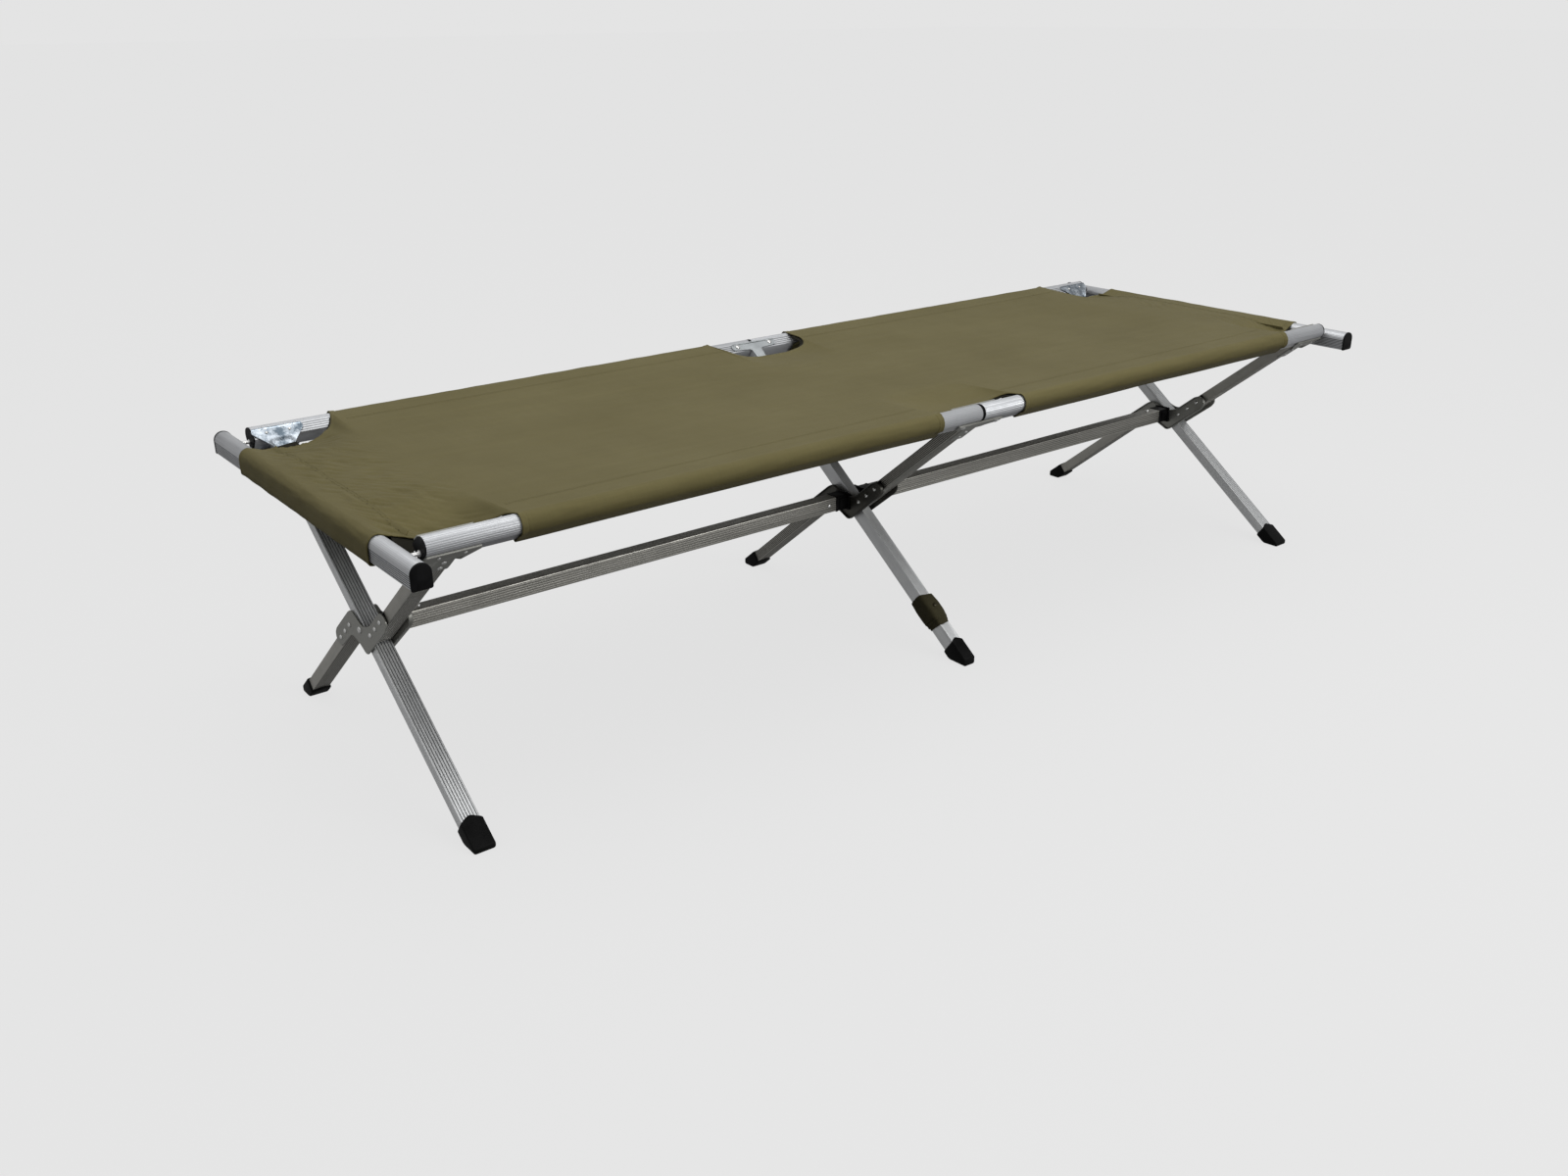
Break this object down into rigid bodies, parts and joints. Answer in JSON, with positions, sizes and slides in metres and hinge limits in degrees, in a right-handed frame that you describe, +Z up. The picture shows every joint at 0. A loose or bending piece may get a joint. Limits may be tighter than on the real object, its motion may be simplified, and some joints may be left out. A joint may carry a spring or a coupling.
{
  "type": "folding cot",
  "caption": "Folding camp cot with ribbed aluminium side rails, scissor legs, drop-on end bars, a jointed stretcher and a sleeved canvas bed surface.",
  "frame": {"origin": "middle of the footprint on the ground", "axes": "+X along the cot, +Y across it towards the rail that carries the long legs, +Z up"},
  "size_m": [1.9038, 0.69, 0.4409],
  "materials": {
    "rail_aluminium": "extruded, finely ribbed, satin",
    "leg_aluminium": "extruded, broad ribs, satin",
    "olive_aluminium": "extruded, ribbed, dull grey",
    "plate_steel": "pressed sheet, satin",
    "rivet_steel": "bright",
    "black_plastic": "satin moulded",
    "black_rubber": "matte moulded",
    "canvas": "plain woven, matte",
    "webbing": "woven webbing, matte"
  },
  "bodies": {
    "back_frame": {"back_rail_left": "rail_aluminium", "back_rail_right": "rail_aluminium", "back_rail_plugs": "black_plastic", "back_rail_studs": "rivet_steel", "long_leg_left": "leg_aluminium", "long_leg_middle": "leg_aluminium", "long_leg_right": "leg_aluminium", "boot_front_left": "black_rubber", "boot_front_middle": "black_rubber", "boot_front_right": "black_rubber", "hub_pins": "rivet_steel", "hub_washers": "black_plastic", "back_t_plate_upper": "plate_steel", "back_t_plate_lower": "plate_steel", "back_corner_plates_left": "plate_steel", "back_corner_plates_right": "plate_steel", "back_joint_pins": "rivet_steel", "back_plate_rivets": "rivet_steel", "canvas_cover": "canvas", "storage_strap": "webbing", "strap_rivet": "rivet_steel"},
    "front_frame": {"front_rail_left": "rail_aluminium", "front_rail_right": "rail_aluminium", "front_rail_plugs": "black_plastic", "front_rail_studs": "rivet_steel", "short_leg_upper_left": "olive_aluminium", "short_leg_upper_middle": "olive_aluminium", "short_leg_upper_right": "olive_aluminium", "short_leg_lower_left": "olive_aluminium", "short_leg_lower_middle": "olive_aluminium", "short_leg_lower_right": "olive_aluminium", "boot_back_left": "black_rubber", "boot_back_middle": "black_rubber", "boot_back_right": "black_rubber", "hub_plate_outer_left": "plate_steel", "hub_plate_outer_middle": "plate_steel", "hub_plate_outer_right": "plate_steel", "hub_plate_inner_left": "plate_steel", "hub_plate_inner_middle": "plate_steel", "hub_plate_inner_right": "plate_steel", "hub_rivets": "rivet_steel", "hub_spacers": "black_plastic", "front_t_plate_upper": "plate_steel", "front_t_plate_lower": "plate_steel", "front_corner_plates_left": "plate_steel", "front_corner_plates_right": "plate_steel", "front_joint_pins": "rivet_steel", "front_plate_rivets": "rivet_steel", "stretcher_left": "olive_aluminium", "stretcher_right": "olive_aluminium", "stretcher_sockets": "black_plastic", "stretcher_yokes": "black_plastic", "yoke_pins": "rivet_steel"},
    "left_end_bar": {"end_bar_left": "rail_aluminium", "end_bar_caps_left": "black_plastic"},
    "right_end_bar": {"end_bar_right": "rail_aluminium", "end_bar_caps_right": "black_plastic"},
    "left_button": {"snap_button_left": "rivet_steel"},
    "right_button": {"snap_button_right": "rivet_steel"}
  },
  "joints": [
    {"name": "scissor_fold", "type": "hinge", "parent": "back_frame", "child": "front_frame", "pos_m": [0, 0, 0.212], "axis": [-1, 0, 0], "range_deg": [0, 92], "deforming": ["canvas_cover"]},
    {"name": "left_bar_draw", "type": "slide", "parent": "back_frame", "child": "left_end_bar", "axis": [-1, 0, 0], "range_m": [0, 0.06]},
    {"name": "right_bar_draw", "type": "slide", "parent": "back_frame", "child": "right_end_bar", "axis": [1, 0, 0], "range_m": [0, 0.06]},
    {"name": "left_button_press", "type": "slide", "parent": "front_frame", "child": "left_button", "axis": [0, 0, -1], "range_m": [0, 0.003], "stiffness_N_per_m": 600},
    {"name": "right_button_press", "type": "slide", "parent": "front_frame", "child": "right_button", "axis": [0, 0, -1], "range_m": [0, 0.003], "stiffness_N_per_m": 600}
  ],
  "couplings": [
    {"joint": "left_bar_draw", "follows": "scissor_fold", "m_per_rad": 0.0373},
    {"joint": "right_bar_draw", "follows": "scissor_fold", "m_per_rad": 0.0373}
  ]
}
